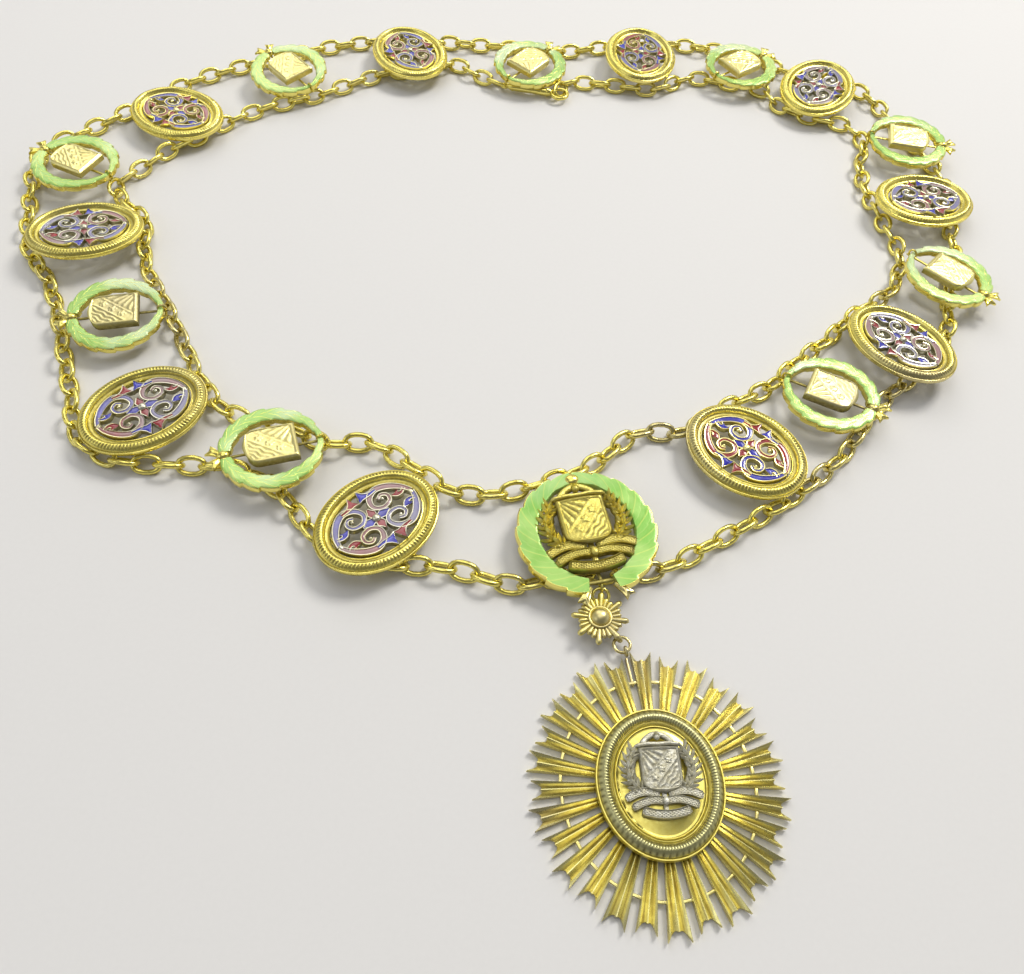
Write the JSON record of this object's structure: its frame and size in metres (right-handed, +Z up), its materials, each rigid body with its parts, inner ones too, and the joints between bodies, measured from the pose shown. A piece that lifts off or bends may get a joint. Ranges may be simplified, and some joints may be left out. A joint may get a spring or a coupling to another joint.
{
  "type": "ceremonial collar of an order with badge",
  "caption": "Collar of an order: two cable chains joining oval scroll plaques and enamelled wreaths in a closed loop, with a hanging sunburst badge.",
  "frame": {"origin": "middle of the whole collar's box, on the surface that it lies on", "axes": "+Z up from the surface; -Y from the loop towards the badge; +X to the wearer's left as the collar lies face up"},
  "size_m": [0.3854, 0.395, 0.0119],
  "materials": {
    "gold": "polished gilt with brown tarnish in the grooves",
    "enamel_green": "translucent green enamel over engraved gold, gold edges",
    "enamel_scroll": "red and blue enamel between gold edges",
    "arms_gold": "matt gilt relief, dark in the hollows"
  },
  "bodies": {
    "root": {"oval_rim_01": "gold", "oval_scroll_01": "enamel_scroll", "oval_rim_02": "gold", "oval_scroll_02": "enamel_scroll", "oval_rim_03": "gold", "oval_scroll_03": "enamel_scroll", "oval_rim_04": "gold", "oval_scroll_04": "enamel_scroll", "oval_rim_05": "gold", "oval_scroll_05": "enamel_scroll", "oval_rim_06": "gold", "oval_scroll_06": "enamel_scroll", "oval_rim_07": "gold", "oval_scroll_07": "enamel_scroll", "oval_rim_08": "gold", "oval_scroll_08": "enamel_scroll", "oval_rim_09": "gold", "oval_scroll_09": "enamel_scroll", "oval_rim_10": "gold", "oval_scroll_10": "enamel_scroll", "wreath_01": "enamel_green", "wreath_shield_01": "gold", "wreath_02": "enamel_green", "wreath_shield_02": "gold", "wreath_03": "enamel_green", "wreath_shield_03": "gold", "wreath_04": "enamel_green", "wreath_shield_04": "gold", "wreath_05": "enamel_green", "wreath_shield_05": "gold", "wreath_06": "enamel_green", "wreath_shield_06": "gold", "wreath_07": "enamel_green", "wreath_shield_07": "gold", "wreath_08": "enamel_green", "wreath_shield_08": "gold", "wreath_09": "enamel_green", "wreath_shield_09": "gold", "big_wreath": "enamel_green", "big_arms": "arms_gold", "chain_outer": "gold", "chain_inner": "gold", "clasp": "gold", "star_link": "gold", "upper_ring": "gold", "lower_ring": "gold", "badge_rays": "gold", "badge_medallion": "gold", "badge_arms": "arms_gold"}
  },
  "joints": []
}
